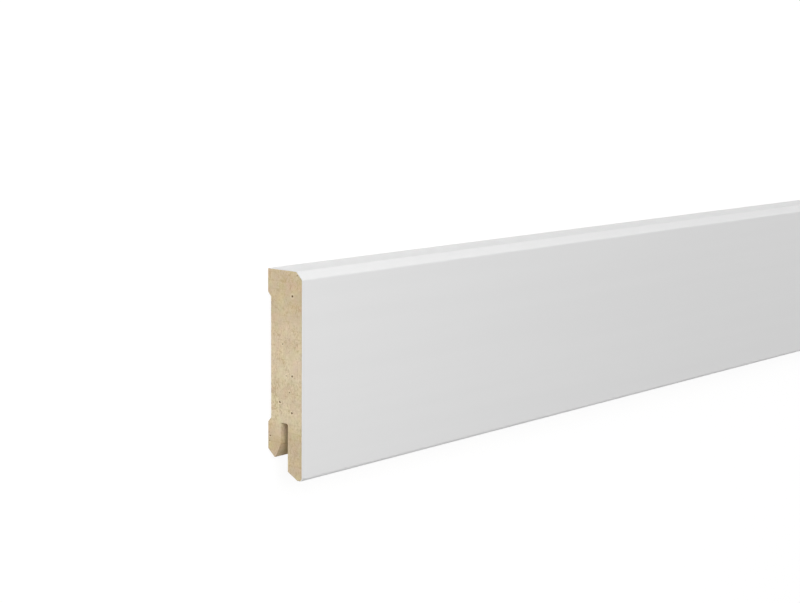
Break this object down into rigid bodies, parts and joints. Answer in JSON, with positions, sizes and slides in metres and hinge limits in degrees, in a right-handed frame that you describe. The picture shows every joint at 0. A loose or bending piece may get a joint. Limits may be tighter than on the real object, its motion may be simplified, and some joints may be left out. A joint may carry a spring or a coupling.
{
  "type": "skirting board length",
  "caption": "White foil-wrapped fibreboard skirting length with a chamfered top edge, a relieved back and a clip groove behind its foot.",
  "frame": {"origin": "centre of the underside as the board lies on its back, in the plane of its back pads", "axes": "+X along the length, +Y towards the edge that is the top on a wall, +Z out of the front face"},
  "size_m": [2.4, 0.08, 0.018],
  "materials": {
    "raw_fibreboard": "unfinished, sawn at the ends and milled on the back and in the groove",
    "white_foil": "smooth satin white"
  },
  "bodies": {
    "root": {"mdf_core": "raw_fibreboard", "foil_wrap": "white_foil"}
  },
  "joints": []
}
